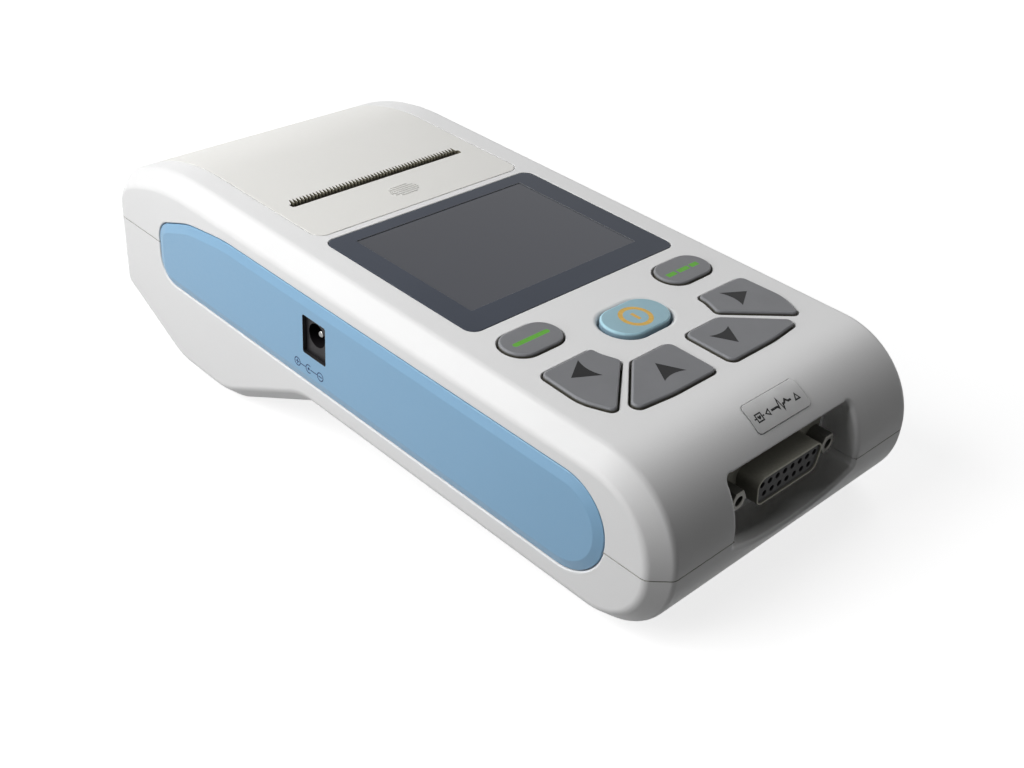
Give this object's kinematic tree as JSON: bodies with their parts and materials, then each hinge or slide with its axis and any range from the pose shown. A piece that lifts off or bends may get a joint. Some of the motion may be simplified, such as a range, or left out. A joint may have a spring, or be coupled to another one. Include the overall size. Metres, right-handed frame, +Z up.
{
  "type": "ecg home monitor",
  "caption": "Hand-held electrocardiograph with a colour display, rubber keys, a strip printer under a hinged door and a patient socket in its nose.",
  "frame": {"origin": "middle of the device's bounding box, on the surface that its feet rest on", "axes": "+X to the device's right seen from the nose end looking at the keys the right way up, +Y from the nose with the patient socket to the raised paper bay, +Z up"},
  "size_m": [0.096, 0.2122, 0.0632],
  "materials": {
    "case_white": "fine-grained moulded ABS",
    "door_white": "fine-grained moulded ABS",
    "inlay_blue": "smooth satin plastic",
    "window": "gloss acrylic, slate border printed on its back",
    "display": "dark grey display glass",
    "key_grey": "satin silicone",
    "key_blue": "satin silicone",
    "label_silver": "brushed foil",
    "socket_plating": "dull plated steel",
    "black_moulding": "satin",
    "contact_brass": "plated",
    "screw_steel": "plated",
    "foot_rubber": "matte",
    "board_green": "solder mask",
    "spring_steel": "polished",
    "chip_black": "moulded",
    "battery_wrap": "shrink wrap",
    "shaft_steel": "ground",
    "paper": "thermal paper",
    "core_card": "card",
    "white_nylon": "satin nylon",
    "frame_steel": "zinc-plated sheet",
    "head_ceramic": "glazed ceramic",
    "sink_aluminium": "mill finish",
    "platen_rubber": "ground rubber"
  },
  "bodies": {
    "housing": {"upper_case": "case_white", "lower_case": "case_white", "door_hinge_pin": "shaft_steel", "case_screws": "screw_steel", "label_plate": "label_silver", "left_side_inlay": "inlay_blue", "right_side_inlay": "inlay_blue", "screen_window": "window", "lcd_module": "display", "main_board": "board_green", "board_components": "chip_black", "buzzer": "chip_black", "keypad_board": "board_green", "key_switches": "spring_steel", "battery_pack": "battery_wrap", "patient_socket_shell": "socket_plating", "patient_socket_insulator": "black_moulding", "patient_socket_contacts": "contact_brass", "jackscrews": "screw_steel", "power_jack_housing": "black_moulding", "power_jack_pin": "screw_steel", "idler_pin": "shaft_steel", "stepper_motor": "frame_steel", "printer_frame": "frame_steel", "print_head": "head_ceramic", "head_heat_sink": "sink_aluminium", "head_springs": "spring_steel", "rubber_feet": "foot_rubber"},
    "key_print": {"key_print": "key_grey"},
    "key_mode": {"key_mode": "key_grey"},
    "key_power": {"key_power": "key_blue"},
    "key_left": {"key_left": "key_grey"},
    "key_right": {"key_right": "key_grey"},
    "key_up": {"key_up": "key_grey"},
    "key_down": {"key_down": "key_grey"},
    "door": {"paper_door": "door_white", "platen_bushes": "white_nylon"},
    "platen": {"platen_roller": "platen_rubber", "platen_shaft": "shaft_steel", "platen_gear": "white_nylon"},
    "idler": {"idler_gear": "white_nylon"},
    "pinion": {"motor_pinion": "contact_brass", "motor_shaft": "shaft_steel"},
    "roll": {"paper_roll": "paper", "roll_core": "core_card", "roll_spindle": "white_nylon"}
  },
  "joints": [
    {"name": "key_print_press", "type": "slide", "parent": "housing", "child": "key_print", "axis": [0, 0.125, -0.9922], "range_m": [0, 0.0009], "stiffness_N_per_m": 900},
    {"name": "key_mode_press", "type": "slide", "parent": "housing", "child": "key_mode", "axis": [0, 0.125, -0.9922], "range_m": [0, 0.0009], "stiffness_N_per_m": 900},
    {"name": "key_power_press", "type": "slide", "parent": "housing", "child": "key_power", "axis": [0, 0.125, -0.9922], "range_m": [0, 0.0009], "stiffness_N_per_m": 1100},
    {"name": "key_left_press", "type": "slide", "parent": "housing", "child": "key_left", "axis": [0, 0.125, -0.9922], "range_m": [0, 0.0009], "stiffness_N_per_m": 900},
    {"name": "key_right_press", "type": "slide", "parent": "housing", "child": "key_right", "axis": [0, 0.125, -0.9922], "range_m": [0, 0.0009], "stiffness_N_per_m": 900},
    {"name": "key_up_press", "type": "slide", "parent": "housing", "child": "key_up", "axis": [0, 0.125, -0.9922], "range_m": [0, 0.0009], "stiffness_N_per_m": 900},
    {"name": "key_down_press", "type": "slide", "parent": "housing", "child": "key_down", "axis": [0, 0.125, -0.9922], "range_m": [0, 0.0009], "stiffness_N_per_m": 900},
    {"name": "door_hinge", "type": "hinge", "parent": "housing", "child": "door", "pos_m": [0, 0.09473, 0.05568], "axis": [-1, 0, 0], "range_deg": [0, 70]},
    {"name": "roll_spin", "type": "hinge", "parent": "housing", "child": "roll", "pos_m": [0, 0.07247, 0.02511], "axis": [1, 0, 0], "continuous": true},
    {"name": "platen_spin", "type": "hinge", "parent": "door", "child": "platen", "pos_m": [0, 0.04509, 0.05119], "axis": [1, 0, 0], "continuous": true},
    {"name": "idler_spin", "type": "hinge", "parent": "housing", "child": "idler", "pos_m": [0.0345, 0.03991, 0.03915], "axis": [1, 0, 0], "continuous": true},
    {"name": "pinion_spin", "type": "hinge", "parent": "housing", "child": "pinion", "pos_m": [0.0345, 0.03704, 0.02942], "axis": [1, 0, 0], "continuous": true}
  ],
  "couplings": [
    {"joint": "platen_spin", "follows": "roll_spin", "ratio": 3.48},
    {"joint": "idler_spin", "follows": "roll_spin", "ratio": -2.9829},
    {"joint": "pinion_spin", "follows": "roll_spin", "ratio": 6.96}
  ]
}
